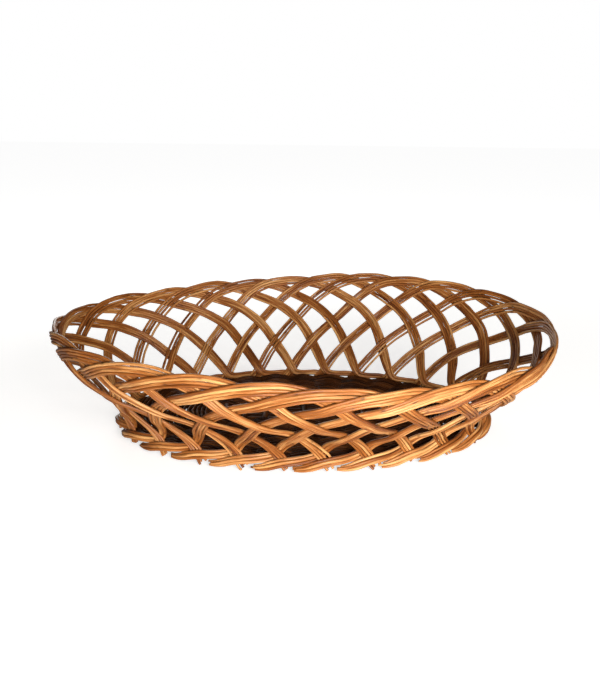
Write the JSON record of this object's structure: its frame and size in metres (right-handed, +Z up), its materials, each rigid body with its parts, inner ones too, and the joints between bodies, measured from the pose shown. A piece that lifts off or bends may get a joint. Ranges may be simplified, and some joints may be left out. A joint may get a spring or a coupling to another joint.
{
  "type": "woven wicker basket",
  "caption": "Oval open-weave willow basket: flared lattice wall of arching rod groups on a low rolled foot, with a flat woven base.",
  "frame": {"origin": "on the surface it stands on, under the centre of the oval", "axes": "+X along the oval's length, +Y across it towards the back wall, +Z up"},
  "size_m": [0.4056, 0.3078, 0.101],
  "materials": {
    "willow_rods": "honey-brown willow under a thin satin varnish",
    "base_sticks": "dark brown split willow, satin varnish",
    "base_weavers": "dark brown fine willow, satin varnish"
  },
  "bodies": {
    "root": {"rod_group_01": "willow_rods", "rod_group_02": "willow_rods", "rod_group_03": "willow_rods", "rod_group_04": "willow_rods", "rod_group_05": "willow_rods", "rod_group_06": "willow_rods", "rod_group_07": "willow_rods", "rod_group_08": "willow_rods", "rod_group_09": "willow_rods", "rod_group_10": "willow_rods", "rod_group_11": "willow_rods", "rod_group_12": "willow_rods", "rod_group_13": "willow_rods", "rod_group_14": "willow_rods", "rod_group_15": "willow_rods", "rod_group_16": "willow_rods", "rod_group_17": "willow_rods", "rod_group_18": "willow_rods", "rod_group_19": "willow_rods", "rod_group_20": "willow_rods", "rod_group_21": "willow_rods", "rod_group_22": "willow_rods", "rod_group_23": "willow_rods", "rod_group_24": "willow_rods", "base_long_stick_1": "base_sticks", "base_long_stick_2": "base_sticks", "base_long_stick_3": "base_sticks", "base_long_stick_4": "base_sticks", "base_long_stick_5": "base_sticks", "base_cross_stick_1": "base_sticks", "base_cross_stick_2": "base_sticks", "base_cross_stick_3": "base_sticks", "base_cross_stick_4": "base_sticks", "base_cross_stick_5": "base_sticks", "base_cross_stick_6": "base_sticks", "base_cross_stick_7": "base_sticks", "base_cross_stick_8": "base_sticks", "base_cross_stick_9": "base_sticks", "base_weaver_band_1": "base_weavers", "base_weaver_band_2": "base_weavers", "base_weaver_band_3": "base_weavers", "base_weaver_band_4": "base_weavers", "base_weaver_band_5": "base_weavers", "base_weaver_band_6": "base_weavers"}
  },
  "joints": []
}
